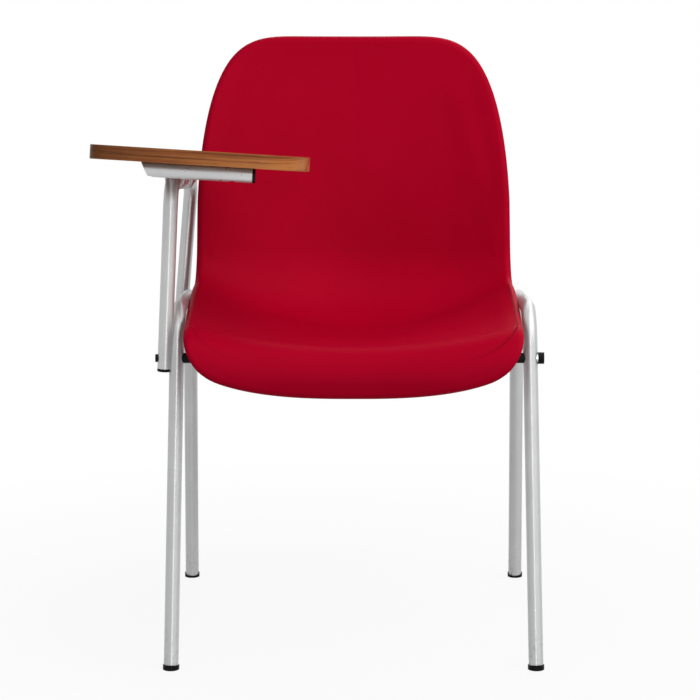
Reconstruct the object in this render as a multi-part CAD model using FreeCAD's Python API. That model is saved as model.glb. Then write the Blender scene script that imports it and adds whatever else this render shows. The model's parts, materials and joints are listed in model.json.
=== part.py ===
import FreeCAD, Part
import math
import os

V = FreeCAD.Vector

# Stacking conference chair with a folding writing tablet. All sizes are in millimetres and degrees.
# The sitter faces -Y, Z is up, and left means the -X side, which carries the tablet.
# The origin is the floor point in the middle of the four feet.

# Side frames, one bent tube on each side
foot_spacing = 500.0
foot_base = 470.0
tube_dia = 20.0
tube_wall = 1.5
frame_splay = 1.2
front_leg_lean = 8.5
rear_leg_lean = 14.5
top_bar_rise = 50.7
top_bar_slope = 5.0
frame_bend_radius = 48.0

# Foot glides
glide_dia = 22.5
glide_height = 6.0
glide_stem_length = 15.0
plug_clearance = 0.1

# Bolts that join the frames, the cross tubes and the arm
bolt_dia = 8.0
bolt_clearance = 0.2
bolt_head_dia = 13.0
bolt_head_height = 4.5
arm_bolt_head_dia = 11.0
arm_bolt_head_height = 3.0
front_bolt_height = 421.3
rear_bolt_height = 400.0
bolt_cap_dia = 16.0
bolt_cap_height = 8.5
bolt_cap_clearance = 0.05
bolt_cap_gap = 0.2

# Cross tubes under the bucket
spacer_length = 14.0
spacer_dia = 14.0
insert_length = 12.0
cross_stub = 14.0
cross_bend_radius = 45.0
front_tube_drop = 27.3
front_slope_run = 60.0
rear_tube_depth = 56.7
rear_tube_forward = 56.0
rear_slope_run = 68.5

# Centre line of the bucket's front surface, from the lip over the seat and up the back
seat_front_y = -207.0
seat_front_rise = 22.4
lip_drop = 19.2
lip_radius = 40.0
lip_turn = 104.0
seat_fall = 4.0
seat_length = 245.0
bucket_bend_radius = 115.0
bucket_bend_turn = 85.0
back_length = 319.0
back_sweep = 7.0

# Widths and curl of the bucket
seat_half_width = 226.5
back_half_width = 227.5
top_half_width = 64.0
lip_corner_length = 81.5
lip_corner_power = 2.17
lip_corner_fullness = 0.38
top_corner_length = 320.0
top_corner_power = 2.47
top_corner_fullness = 0.246
curl_lip = 3.5
curl_front = 29.0
curl_seat = 48.0
curl_seat_rear = 61.0
curl_bend = 54.0
curl_back_low = 46.0
curl_back = 34.0
curl_top = 11.0

# Layers of the bucket
pad_thickness = 16.0
shell_thickness = 4.5
cover_thickness = 3.5
layer_gap = 0.3
edge_radius = 7.0
end_rounding = 12.0
shell_inset = 6.0
shell_end_inset = 13.0

# Sections that the bucket is drawn through: steps on its runs, and shares of its end lengths
seat_section_step = 24.5
bend_section_step = 19.0
back_section_step = 28.5
back_curl_share = 0.4
end_shares = (0.083, 0.167, 0.292, 0.5, 0.75)
lip_shares = (0.234, 0.312, 0.403, 0.506, 0.623, 0.753, 0.909, 1.052)
top_shares = (0.056, 0.075, 0.103, 0.144, 0.194)

# Saddle blocks and screws that hold the bucket on the cross tubes
mount_spacing = 120.0
block_width = 26.0
block_depth = 24.0
screw_dia = 6.0
screw_clearance = 0.2
screw_head_dia = 10.0
screw_head_height = 3.5
tee_barrel_dia = 8.4
tee_flange_dia = 14.0
tee_flange_thickness = 1.5

# Tablet arm
arm_offset = 16.0
arm_front_tilt = 2.8
arm_rear_tilt = 4.6
arm_saddle_clearance = 0.2
arm_foot_overhang = 14.0
arm_hinge_y = -105.0
arm_hinge_height = 658.0
arm_top_slope = 6.5
arm_rear_lean = 8.6
arm_bend_radius = 32.0
plug_cap_thickness = 4.0
plug_stem_length = 12.0
arm_stem_length = 8.0

# Hinge of the tablet on the arm's top bar
tablet_roll = 3.4
tablet_open_angle = 95.0
sleeve_dia = 27.0
sleeve_bore = 23.0
sleeve_length = 28.0
sleeve_spacing = 150.0
bush_clearance = 0.05
collar_dia = 28.0
collar_width = 10.0
collar_gap = 0.3
lug_angle = 30.0
lug_start = 266.0
lug_length = 5.6
lug_clearance = 0.2
lug_end_clearance = 0.4
stop_play = 1.0
set_screw_dia = 5.0
set_screw_angle = 225.0

# Bars under the tablet
bar_height = 12.5
bar_land = 0.5
front_bar_lead = 122.0
front_bar_outer = 36.5
front_bar_inner = 112.0
rear_bar_outer = 42.0
rear_bar_inner = 52.0
bar_end_angle = 62.0
bar_end_wall = 2.0
bar_plug_thickness = 3.4
tongue_width = 30.0
tongue_thickness = 4.0
web_width = 16.0
wood_screw_dia = 4.5
wood_screw_depth = 12.0
wood_screw_head_dia = 9.0
wood_screw_head_height = 3.0
wood_screw_access = 0.5
front_screw_outer = 25.0
front_screw_inner = 85.0
rear_screw_outer = 26.0
rear_screw_inner = 33.0

# Writing tablet
tablet_thickness = 19.0
tablet_band = 2.0
tablet_front = 150.0
tablet_rear = 215.0
tablet_outer = 108.0
tablet_inner = 181.0
tablet_inner_depth = 220.0
tablet_waist_depth = 290.0
tablet_waist_inner = 64.0
tablet_tail_inner = 58.0
tablet_tail_outer = 64.0
tablet_outer_corner = 25.0
tablet_inner_corner = 60.0
tablet_waist_corner = 60.0
tablet_tail_corner = 42.0

tube_radius = tube_dia / 2
bore_radius = tube_radius - tube_wall
stem_radius = bore_radius - plug_clearance
slot_half = shell_thickness / 2 + layer_gap
bucket_thickness = pad_thickness + 2 * slot_half + cover_thickness
top_bar_height = front_bolt_height + top_bar_rise
seat_front_height = front_bolt_height + seat_front_rise
nodes = {}


def sind(angle):
    return math.sin(math.radians(angle))


def cosd(angle):
    return math.cos(math.radians(angle))


def tand(angle):
    return math.tan(math.radians(angle))


def rod(radius, start, end):
    return Part.makeCylinder(radius, (end - start).Length, start, end - start)


def corner(before, at, after, radius):
    back = (before - at).normalize()
    ahead = (after - at).normalize()
    half = back.getAngle(ahead) / 2
    middle = (back + ahead).normalize()
    reach = radius / math.tan(half)
    centre = at + middle * (radius / math.sin(half))
    return at + back * reach, centre - middle * radius, at + ahead * reach


def open_path(points, radius):
    edges = []
    start = points[0]
    for i in range(1, len(points) - 1):
        first, middle, last = corner(points[i - 1], points[i], points[i + 1], radius)
        edges.append(Part.makeLine(start, first))
        edges.append(Part.Arc(first, middle, last).toShape())
        start = last
    edges.append(Part.makeLine(start, points[-1]))
    return Part.Wire(edges)


def closed_path(points, radii):
    count = len(points)
    corners = []
    for i in range(count):
        corners.append(corner(points[i - 1], points[i], points[(i + 1) % count], radii[i]))
    edges = []
    for i in range(count):
        edges.append(Part.Arc(*corners[i]).toShape())
        edges.append(Part.makeLine(corners[i][2], corners[(i + 1) % count][0]))
    return Part.Wire(edges)


def sweep(path, radius):
    first = path.Edges[0]
    start = first.valueAt(first.FirstParameter)
    heading = first.tangentAt(first.FirstParameter)
    ring = Part.Wire(Part.Circle(start, heading, radius).toShape())
    return path.makePipeShell([ring], True, False)


def tube(path):
    return sweep(path, tube_radius).cut(sweep(path, bore_radius))


def single(shape):
    if len(shape.Solids) != 1:
        raise ValueError("expected one solid, found %d" % len(shape.Solids))
    return shape.Solids[0]


def keep(name, shape):
    nodes[name] = single(shape)


# Side frames

def frame_point(side, y, z):
    return V(side * (foot_spacing / 2 - z * tand(frame_splay)), y, z)


def front_leg_y(z):
    return z * tand(front_leg_lean) - foot_base / 2


def rear_leg_y(z):
    return foot_base / 2 - z * tand(rear_leg_lean)


bar_fall = tand(top_bar_slope)
front_corner_z = (top_bar_height + foot_base / 2 * bar_fall) / (1 + tand(front_leg_lean) * bar_fall)
rear_corner_z = (top_bar_height - foot_base / 2 * bar_fall) / (1 - tand(rear_leg_lean) * bar_fall)

frame_path = {}
frame_outer = {}
frame_tube = {}
glide_names = {-1: "left", 1: "right"}
for side in (-1, 1):
    front_foot = frame_point(side, -foot_base / 2, 0)
    rear_foot = frame_point(side, foot_base / 2, 0)
    front_top = frame_point(side, front_leg_y(front_corner_z), front_corner_z)
    rear_top = frame_point(side, rear_leg_y(rear_corner_z), rear_corner_z)
    front_axis = (front_top - front_foot).normalize()
    rear_axis = (rear_top - rear_foot).normalize()
    front_end = front_foot + front_axis * glide_height
    rear_end = rear_foot + rear_axis * glide_height
    path = open_path([front_end, front_top, rear_top, rear_end], frame_bend_radius)
    frame_path[side] = path
    frame_outer[side] = sweep(path, tube_radius)
    frame_tube[side] = tube(path)
    floor = Part.makeBox(4 * glide_dia, 4 * glide_dia, 4 * glide_dia)
    for place, foot, axis in (("front", front_foot, front_axis), ("rear", rear_foot, rear_axis)):
        top = foot + axis * glide_height
        flange = rod(glide_dia / 2, foot - axis * glide_height, top)
        stem = rod(stem_radius, top, top + axis * glide_stem_length)
        below = floor.translated(foot - V(2 * glide_dia, 2 * glide_dia, 4 * glide_dia))
        glide = flange.fuse(stem).cut(below)
        keep("foot_glide_%s_%s" % (place, glide_names[side]), glide)


# Cross tubes, their inserts and the spacers against the legs

def bolt_point(side, place):
    if place == "front":
        return frame_point(side, front_leg_y(front_bolt_height), front_bolt_height)
    return frame_point(side, rear_leg_y(rear_bolt_height), rear_bolt_height)


bolt_radius = bolt_dia / 2
bolt_hole = bolt_radius + bolt_clearance
cross_offset = {
    "front": V(0, 0, -front_tube_drop),
    "rear": V(0, -rear_tube_forward, seat_front_height - rear_tube_depth - rear_bolt_height),
}
slope_run = {"front": front_slope_run, "rear": rear_slope_run}
cross_end = {}
cross_centre = {}
cross_outer = {}
cross_tube = {}
for place in ("front", "rear"):
    at = bolt_point(1, place)
    offset = cross_offset[place]
    end_x = at.x - tube_radius - spacer_length
    half_turn = math.atan2(offset.Length, slope_run[place]) / 2
    knee_x = end_x - cross_stub - cross_bend_radius * math.tan(half_turn)
    middle_x = knee_x - slope_run[place]
    level = V(0, at.y, at.z)
    points = [level + V(end_x, 0, 0), level + V(knee_x, 0, 0), level + offset + V(middle_x, 0, 0)]
    points = points + [V(-p.x, p.y, p.z) for p in reversed(points)]
    path = open_path(points, cross_bend_radius)
    cross_end[place] = end_x
    cross_centre[place] = level + offset
    cross_outer[place] = sweep(path, tube_radius)
    cross_tube[place] = tube(path)
    for side in (-1, 1):
        leg = bolt_point(side, place)
        tip = V(side * end_x, leg.y, leg.z)
        inward = V(-side, 0, 0)
        insert = rod(bore_radius, tip, tip + inward * insert_length)
        insert = insert.cut(rod(bolt_radius, tip, tip + inward * insert_length))
        keep("tube_insert_%s_%s" % (place, glide_names[side]), insert)
        spacer = rod(spacer_dia / 2, tip, leg).cut(frame_outer[side])
        spacer = spacer.cut(rod(bolt_hole, tip, leg))
        keep("frame_spacer_%s_%s" % (place, glide_names[side]), spacer)


# Tablet arm: a loop that leans inwards, bolted on outside the left legs and pressed in where it lies on them

arm_front_leg = bolt_point(-1, "front")
arm_rear_leg = bolt_point(-1, "rear")
arm_front_bolt = arm_front_leg - V(arm_offset, 0, 0)
arm_rear_bolt = arm_rear_leg - V(arm_offset, 0, 0)
arm_fall = tand(arm_top_slope)
arm_lean = tand(arm_rear_lean)
arm_front_rise = arm_hinge_height + (arm_hinge_y - arm_front_bolt.y) * arm_fall - arm_front_bolt.z
arm_rear_rise = arm_hinge_height + (arm_hinge_y - arm_rear_bolt.y) * arm_fall - arm_rear_bolt.z
arm_rear_rise = arm_rear_rise / (1 + arm_fall * arm_lean)
arm_front_top = arm_front_bolt + V(tand(arm_front_tilt), 0, 1) * arm_front_rise
arm_rear_top = arm_rear_bolt + V(tand(arm_rear_tilt), arm_lean, 1) * arm_rear_rise
arm_front_axis = (arm_front_bolt - arm_front_top).normalize()
arm_rear_axis = (arm_rear_bolt - arm_rear_top).normalize()
arm_front_end = arm_front_bolt + arm_front_axis * arm_foot_overhang
arm_rear_end = arm_rear_bolt + arm_rear_axis * arm_foot_overhang
arm_path = open_path([arm_front_end, arm_front_top, arm_rear_top, arm_rear_end], arm_bend_radius)
saddle_radius = tube_radius + arm_saddle_clearance
saddle_room = sweep(frame_path[-1], saddle_radius)
saddle_wall = sweep(frame_path[-1], saddle_radius + tube_wall)
saddle_stem = sweep(frame_path[-1], saddle_radius + tube_wall + plug_clearance)
arm_outer = sweep(arm_path, tube_radius).cut(saddle_room)
arm_tube = arm_outer.cut(sweep(arm_path, bore_radius).cut(saddle_wall))
for place, end, axis in (("front", arm_front_end, arm_front_axis), ("rear", arm_rear_end, arm_rear_axis)):
    cap = rod(tube_radius, end, end + axis * plug_cap_thickness).cut(saddle_room)
    stem = rod(stem_radius, end - axis * arm_stem_length, end).cut(saddle_stem)
    keep("arm_plug_%s" % place, cap.fuse(stem))


# Bolts: short ones with caps on the right, long ones through the arm on the left

arm_bolt = {"front": arm_front_bolt, "rear": arm_rear_bolt}
out_left = V(-1, 0, 0)
out_right = V(1, 0, 0)
for place in ("front", "rear"):
    leg = bolt_point(1, place)
    inner = V(cross_end[place] - insert_length, leg.y, leg.z)
    face = leg + out_right * tube_radius
    head = rod(bolt_head_dia / 2, leg, face + out_right * bolt_head_height).cut(frame_outer[1])
    keep("frame_bolt_%s" % place, head.fuse(rod(bolt_radius, inner, face)))
    cap = rod(bolt_cap_dia / 2, face + out_right * bolt_cap_gap, face + out_right * bolt_cap_height)
    room = rod(bolt_head_dia / 2 + bolt_cap_clearance, leg, face + out_right * bolt_head_height)
    keep("bolt_cap_%s" % place, cap.cut(room))
    frame_tube[1] = frame_tube[1].cut(rod(bolt_hole, inner, face))

    leg = bolt_point(-1, place)
    arm = V(arm_bolt[place].x, leg.y, leg.z)
    inner = V(insert_length - cross_end[place], leg.y, leg.z)
    face = arm + out_left * tube_radius
    head = rod(arm_bolt_head_dia / 2, arm, face + out_left * arm_bolt_head_height).cut(arm_outer)
    keep("arm_bolt_%s" % place, head.fuse(rod(bolt_radius, inner, face)))
    hole = rod(bolt_hole, inner, face)
    frame_tube[-1] = frame_tube[-1].cut(hole)
    arm_tube = arm_tube.cut(hole)
keep("side_frame_left", frame_tube[-1])
keep("side_frame_right", frame_tube[1])
keep("tablet_arm", arm_tube)


# Bucket: profile along its middle, then sections across it

lip_arc = math.radians(lip_turn) * lip_radius
bend_arc = math.radians(bucket_bend_turn) * bucket_bend_radius
runs = [
    (lip_drop, 0.0),
    (lip_arc, -lip_turn),
    (seat_length, 0.0),
    (bend_arc, bucket_bend_turn),
    (back_length, -back_sweep),
]
seat_start = lip_drop + lip_arc
bend_start = seat_start + seat_length
back_start = bend_start + bend_arc
bucket_length = back_start + back_length


def walk(s):
    y, z, heading = 0.0, 0.0, lip_turn - seat_fall
    left = s
    for i, (length, turn) in enumerate(runs):
        last = i == len(runs) - 1
        if left <= 0 and i > 0:
            break
        step = left if last else min(left, length)
        bent = turn * step / length
        chord = step
        if abs(bent) > 1e-9:
            chord = step * sind(bent / 2) / math.radians(bent / 2)
        y += chord * cosd(heading + bent / 2)
        z += chord * sind(heading + bent / 2)
        heading += bent
        left -= step
    return y, z, heading


seat_y, seat_z = walk(seat_start)[:2]


def bucket_frame(s):
    y, z, heading = walk(s)
    origin = V(0, seat_front_y + y - seat_y, seat_front_height + z - seat_z)
    return origin, V(0, -sind(heading), cosd(heading))


curl_stops = [
    (0.0, curl_lip),
    (seat_start, curl_front),
    (seat_start + seat_length / 2, curl_seat),
    (bend_start, curl_seat_rear),
    (bend_start + bend_arc / 2, curl_bend),
    (back_start, curl_back_low),
    (back_start + back_length * back_curl_share, curl_back),
    (bucket_length, curl_top),
]


def curl_at(s):
    last = len(curl_stops) - 1
    slopes = []
    for i in range(last + 1):
        low = curl_stops[max(i - 1, 0)]
        high = curl_stops[min(i + 1, last)]
        slopes.append((high[1] - low[1]) / (high[0] - low[0]))
    i = 0
    while i < last - 1 and s > curl_stops[i + 1][0]:
        i += 1
    (s0, c0), (s1, c1) = curl_stops[i], curl_stops[i + 1]
    span = s1 - s0
    t = (s - s0) / span
    ease = t * t * (3 - 2 * t)
    lead = slopes[i] * span * t * (1 - t) * (1 - t)
    trail = slopes[i + 1] * span * t * t * (1 - t)
    return c0 + (c1 - c0) * ease + lead - trail


def rounding(t, length, power, fullness):
    t = min(t, length)
    return (1 - (1 - t / length) ** power) ** fullness


def side_width(s):
    blend = min(max((s - bend_start) / bend_arc, 0.0), 1.0)
    return seat_half_width + (back_half_width - seat_half_width) * blend


def half_width(s):
    lip = rounding(s, lip_corner_length, lip_corner_power, lip_corner_fullness)
    top = rounding(bucket_length - s, top_corner_length, top_corner_power, top_corner_fullness)
    reach = back_half_width - top_half_width
    return min(side_width(s), seat_half_width * lip, top_half_width + reach * top)


def roundness(s):
    t = min(s, bucket_length - s, end_rounding)
    return math.sqrt(1 - (1 - t / end_rounding) ** 2)


def slot_at(s):
    t = min(s, bucket_length - s)
    start = end_rounding / 2
    share = min(max((t - start) / (shell_end_inset - start), 0.0), 1.0)
    return layer_gap + (slot_half - layer_gap) * share


def arc_rise(x, half, rise):
    if abs(rise) < 0.05:
        return rise * (x / half) ** 2
    radius = (half * half + rise * rise) / (2 * rise)
    return radius - math.copysign(math.sqrt(radius * radius - x * x), radius)


class Section:
    """Cross-section of the bucket: x runs across, n runs out of the front surface."""

    def __init__(self, s):
        self.origin, self.normal = bucket_frame(s)
        self.full = roundness(s)
        self.edge = edge_radius * self.full
        self.curl = curl_at(s) * (half_width(s) / side_width(s)) ** 2
        self.front = -bucket_thickness / 2 * (1 - self.full)
        self.back = self.front - bucket_thickness * self.full
        self.middle = self.front - (pad_thickness + slot_half) * self.full
        self.slot = slot_at(s)
        self.edge_x = half_width(s) - self.edge
        self.tilt = 2 * math.atan2(self.curl, self.edge_x)
        self.edge_n = self.front + self.curl - self.edge * math.cos(self.tilt)

    def space(self, x, n):
        return self.origin + V(x, 0, 0) + self.normal * n

    def rim(self, side, out, lift):
        """Point beside the middle of the rounded edge, out along the layers and lift towards the front."""
        x = self.edge_x + out * math.cos(self.tilt) - lift * math.sin(self.tilt)
        n = self.edge_n + out * math.sin(self.tilt) + lift * math.cos(self.tilt)
        return self.space(side * x, n)

    def round_edge(self, side, face):
        low = math.asin(layer_gap / 2 / self.edge)
        turns = (math.pi / 2, (math.pi / 2 + low) / 2, low)
        return [self.rim(side, self.edge * math.cos(t), face * self.edge * math.sin(t)) for t in turns]

    def layer(self, face):
        """Outline of the front pad, face 1, or of the rear cover, face -1."""
        right = self.round_edge(1, face)
        left = self.round_edge(-1, face)
        seam = face * layer_gap / 2
        right += [self.rim(1, -shell_inset, seam), self.rim(1, -shell_inset, face * self.slot)]
        left += [self.rim(-1, -shell_inset, seam), self.rim(-1, -shell_inset, face * self.slot)]
        outside = self.front if face > 0 else self.back
        edges = [
            Part.Arc(left[0], self.space(0, outside), right[0]).toShape(),
            Part.Arc(right[0], right[1], right[2]).toShape(),
            Part.makeLine(right[2], right[3]),
            Part.makeLine(right[3], right[4]),
            Part.Arc(right[4], self.space(0, self.middle + face * self.slot), left[4]).toShape(),
            Part.makeLine(left[4], left[3]),
            Part.makeLine(left[3], left[2]),
            Part.Arc(left[2], left[1], left[0]).toShape(),
        ]
        return Part.Wire(edges)

    def shell(self):
        """Outline of the moulded shell in the slot between the pad and the cover."""
        half = shell_thickness / 2
        reach = -shell_inset - layer_gap
        right = [self.rim(1, reach, half), self.rim(1, reach, -half)]
        left = [self.rim(-1, reach, half), self.rim(-1, reach, -half)]
        edges = [
            Part.Arc(left[0], self.space(0, self.middle + half), right[0]).toShape(),
            Part.makeLine(right[0], right[1]),
            Part.Arc(right[1], self.space(0, self.middle - half), left[1]).toShape(),
            Part.makeLine(left[1], left[0]),
        ]
        return Part.Wire(edges)

    def shell_front(self, x):
        corner_at = self.rim(1, -shell_inset - layer_gap, shell_thickness / 2) - self.origin
        start = self.middle + shell_thickness / 2
        return start + arc_rise(x, corner_at.x, corner_at.dot(self.normal) - start)


def spread(start, end, step):
    count = round((end - start) / step)
    return [start + (end - start) * i / count for i in range(count + 1)]


near_end = [end_rounding * share for share in end_shares] + [shell_end_inset]
lip_stops = near_end + [lip_corner_length * share for share in lip_shares]
top_stops = near_end + [top_corner_length * share for share in top_shares]
stations = lip_stops + spread(seat_start, bend_start, seat_section_step)
stations += spread(bend_start, back_start, bend_section_step)[1:]
stations += spread(back_start, bucket_length - top_stops[-1], back_section_step)[1:-1]
stations += [bucket_length - t for t in reversed(top_stops)]
inner_stations = [s for s in stations if shell_end_inset <= s <= bucket_length - shell_end_inset]

pad = Part.makeLoft([Section(s).layer(1) for s in stations], True, False)
cover = Part.makeLoft([Section(s).layer(-1) for s in stations], True, False)
shell = Part.makeLoft([Section(s).shell() for s in inner_stations], True, False)


# Saddle blocks, screws and tee nuts between the cross tubes and the bucket

seat_origin, seat_normal = bucket_frame((seat_start + bend_start) / 2)
bend_origin, bend_normal = bucket_frame(bend_start)
bend_centre = bend_origin + bend_normal * bucket_bend_radius
screw_radius = screw_dia / 2
screw_hole = screw_radius + screw_clearance
tee_barrel = tee_barrel_dia / 2
plain_cover = cover
for place in ("front", "rear"):
    centre = cross_centre[place]
    if place == "front":
        normal = seat_normal
        reach = (seat_origin - centre).dot(normal)
        foot = centre + normal * reach
        s = (seat_start + bend_start) / 2 + (foot - seat_origin).dot(V(0, seat_normal.z, -seat_normal.y))
    else:
        toward = bend_centre - centre
        normal = V(toward).normalize()
        reach = toward.Length - bucket_bend_radius
        s = bend_start + bucket_bend_radius * bend_normal.getAngle(normal)
    lift = reach + Section(s).shell_front(mount_spacing / 2)
    along = normal.cross(V(1, 0, 0))
    for side in (-1, 1):
        base = centre + V(side * mount_spacing / 2, 0, 0)
        half_x = V(block_width / 2, 0, 0)
        half_y = along * (block_depth / 2)
        near_side = [base - half_x - half_y, base + half_x - half_y]
        ring = near_side + [base + half_x + half_y, base - half_x + half_y]
        block = Part.Face(Part.makePolygon(ring + [ring[0]])).extrude(normal * (lift - shell_thickness))
        bottom = base - normal * tube_radius
        nut_top = base + normal * (lift + tee_flange_thickness)
        through = rod(screw_hole, bottom, nut_top)
        pieces = block.cut(cross_outer[place]).cut(plain_cover).cut(through).Solids
        block = min(pieces, key=lambda piece: (piece.CenterOfMass - base).dot(normal))
        keep("saddle_block_%s_%s" % (place, glide_names[side]), block)
        head = rod(screw_head_dia / 2, bottom - normal * screw_head_height, base).cut(cross_outer[place])
        keep("shell_screw_%s_%s" % (place, glide_names[side]), head.fuse(rod(screw_radius, bottom, nut_top)))
        flange = rod(tee_flange_dia / 2, base + normal * lift, nut_top)
        barrel = rod(tee_barrel, base + normal * (lift - shell_thickness), nut_top)
        nut = flange.fuse(barrel)
        keep("tee_nut_%s_%s" % (place, glide_names[side]), nut.cut(rod(screw_radius, bottom, nut_top)))
        cross_tube[place] = cross_tube[place].cut(through)
        barrel_hole = rod(tee_barrel, bottom, nut_top)
        cover = cover.cut(barrel_hole)
        shell = shell.cut(flange).cut(barrel_hole)
        pocket_low = base + normal * (lift - shell_thickness)
        pocket_top = nut_top + normal * screw_clearance
        pad = pad.cut(rod(tee_flange_dia / 2 + screw_clearance, pocket_low, pocket_top))
keep("front_cross_tube", cross_tube["front"])
keep("rear_cross_tube", cross_tube["rear"])
keep("seat_shell", shell)
keep("seat_back_pad", pad)
keep("rear_cover", cover)


# Tablet frame: v runs along the hinge to the rear, u inwards, w out of the tablet's top

hinge_v = (arm_rear_top - arm_front_top).normalize()
hinge_point = arm_front_top + hinge_v * ((arm_hinge_y - arm_front_top.y) / hinge_v.y)
level_u = hinge_v.cross(V(0, 0, 1)).normalize()
level_w = level_u.cross(hinge_v)
hinge_u = level_u * cosd(tablet_roll) - level_w * sind(tablet_roll)
hinge_w = level_w * cosd(tablet_roll) + level_u * sind(tablet_roll)
hinge_matrix = FreeCAD.Matrix(
    hinge_u.x, hinge_v.x, hinge_w.x, hinge_point.x,
    hinge_u.y, hinge_v.y, hinge_w.y, hinge_point.y,
    hinge_u.z, hinge_v.z, hinge_w.z, hinge_point.z,
    0, 0, 0, 1,
)
hinge_place = FreeCAD.Placement(hinge_matrix)


def keep_local(name, shape):
    solid = single(shape)
    solid.Placement = hinge_place.multiply(solid.Placement)
    nodes[name] = solid


def axial(radius, v0, v1):
    return rod(radius, V(0, v0, 0), V(0, v1, 0))


def sector(inner, outer, start, end, v0, v1):
    middle = (start + end) / 2

    def at(radius, angle):
        return V(radius * cosd(angle), v0, radius * sind(angle))

    edges = [
        Part.Arc(at(outer, start), at(outer, middle), at(outer, end)).toShape(),
        Part.makeLine(at(outer, end), at(inner, end)),
        Part.Arc(at(inner, end), at(inner, middle), at(inner, start)).toShape(),
        Part.makeLine(at(inner, start), at(outer, start)),
    ]
    return Part.Face(Part.Wire(edges)).extrude(V(0, v1 - v0, 0))


sleeve_radius = sleeve_dia / 2
sleeve_inner = sleeve_bore / 2
lug_end = lug_start + lug_angle
notch_start = lug_start - tablet_open_angle - stop_play
notch_end = lug_end + stop_play
notch_depth = lug_length + lug_end_clearance
bar_top = bar_height + tube_radius - bar_land
sleeve_shape = {}
for place, middle, toward in (("front", 0.0, 1), ("rear", sleeve_spacing, -1)):
    v0 = middle - sleeve_length / 2
    v1 = middle + sleeve_length / 2
    stop_face = middle + toward * sleeve_length / 2
    notch_floor = stop_face - toward * notch_depth
    collar_face = stop_face + toward * collar_gap
    collar_back = collar_face + toward * collar_width
    notch_inner = sleeve_inner - lug_clearance
    notch_outer = sleeve_radius + lug_clearance
    notch = sector(notch_inner, notch_outer, notch_start, notch_end, notch_floor, stop_face)
    sleeve = axial(sleeve_radius, v0, v1).cut(axial(sleeve_inner, v0, v1)).cut(notch)
    sleeve_shape[place] = axial(sleeve_radius, v0, v1)
    keep_local("hinge_sleeve_%s" % place, sleeve)
    bush = axial(sleeve_inner, v0, v1).cut(axial(tube_radius + bush_clearance, v0, v1))
    keep_local("hinge_bush_%s" % place, bush)
    lug_inner = sleeve_inner + lug_clearance
    lug_outer = sleeve_radius - lug_clearance
    lug = sector(lug_inner, lug_outer, lug_start, lug_end, stop_face - toward * lug_length, collar_back)
    collar = axial(collar_dia / 2, collar_face, collar_back).fuse(lug)
    screw_v = (collar_face + collar_back) / 2
    aim = V(cosd(set_screw_angle), 0, sind(set_screw_angle))
    inner = V(0, screw_v, 0) + aim * tube_radius
    outer = V(0, screw_v, 0) + aim * (collar_dia / 2)
    set_screw = rod(set_screw_dia / 2, inner, outer)
    tapped = rod(set_screw_dia / 2, V(0, screw_v, 0), V(0, screw_v, 0) + aim * collar_dia)
    collar = collar.cut(axial(tube_radius, collar_face, collar_back)).cut(tapped)
    keep_local("stop_collar_%s" % place, collar)
    keep_local("set_screw_%s" % place, set_screw)


# Bars across the hinge sleeves, and the tablet that is screwed down on them

def beyond_end(outer, v, setback):
    size = 6 * tube_dia
    start = V(-outer, v, bar_height + tube_radius)
    slant = V(cosd(bar_end_angle), 0, -sind(bar_end_angle))
    out = V(-sind(bar_end_angle), 0, -cosd(bar_end_angle))
    start = start - out * setback - slant * size - V(0, size, 0)
    down = slant * size * 2
    across = V(0, size * 2, 0)
    ring = [start, start + down, start + down + across, start + across]
    return Part.Face(Part.makePolygon(ring + [ring[0]])).extrude(out * size)


def above_land(u0, u1, v):
    size = V(u1 - u0 + 2 * tube_dia, 2 * tube_dia, tube_dia)
    return Part.makeBox(size.x, size.y, size.z, V(u0 - tube_dia, v - tube_dia, bar_top))


screw_w = bar_top + wood_screw_depth
head_radius = wood_screw_head_dia / 2
head_top = bar_height + math.sqrt(bore_radius ** 2 - head_radius ** 2)
board_holes = []
bar_places = (
    ("front", -front_bar_lead, front_bar_outer, front_bar_inner),
    ("rear", sleeve_spacing, rear_bar_outer, rear_bar_inner),
)
screw_places = {
    "front": (("outer", -front_screw_outer), ("inner", front_screw_inner)),
    "rear": (("outer", -rear_screw_outer), ("inner", rear_screw_inner)),
}
for place, v, outer, inner in bar_places:
    axis_start = V(-outer - tube_dia, v, bar_height)
    axis_end = V(inner, v, bar_height)
    land = above_land(-outer, inner, v)
    body = rod(tube_radius, axis_start, axis_end).cut(beyond_end(outer, v, 0.0))
    hollow = rod(bore_radius, axis_start, axis_end).cut(beyond_end(outer, v, bar_end_wall))
    bar = body.cut(hollow).cut(land).cut(sleeve_shape[place])
    plug = rod(tube_radius, axis_end, axis_end + V(bar_plug_thickness, 0, 0))
    plug = plug.fuse(rod(stem_radius, axis_end - V(plug_stem_length, 0, 0), axis_end)).cut(land)
    keep_local("bar_plug_%s" % place, plug)
    for name, u in screw_places[place]:
        low = V(u, v, bar_height - tube_dia)
        seat = V(u, v, head_top)
        tip = V(u, v, screw_w)
        head = rod(head_radius, seat - V(0, 0, wood_screw_head_height), seat)
        keep_local("wood_screw_%s_%s" % (place, name), head.fuse(rod(wood_screw_dia / 2, seat, tip)))
        bar = bar.cut(rod(wood_screw_dia / 2 + screw_clearance, low, tip))
        bar = bar.cut(rod(head_radius + wood_screw_access, low, V(u, v, bar_height)))
        board_holes.append(rod(wood_screw_dia / 2, low, tip))
    if place == "front":
        reach = sleeve_length / 2 - v
        corner_at = V(-tongue_width / 2, v, bar_top - tongue_thickness)
        tongue = Part.makeBox(tongue_width, reach, tongue_thickness, corner_at).cut(hollow)
        corner_at = V(-web_width / 2, -sleeve_length / 2, 0)
        web = Part.makeBox(web_width, sleeve_length, bar_top - tongue_thickness, corner_at)
        bar = bar.fuse(tongue).fuse(web.cut(sleeve_shape[place]))
    keep_local("tablet_bar_%s" % place, bar)

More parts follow.
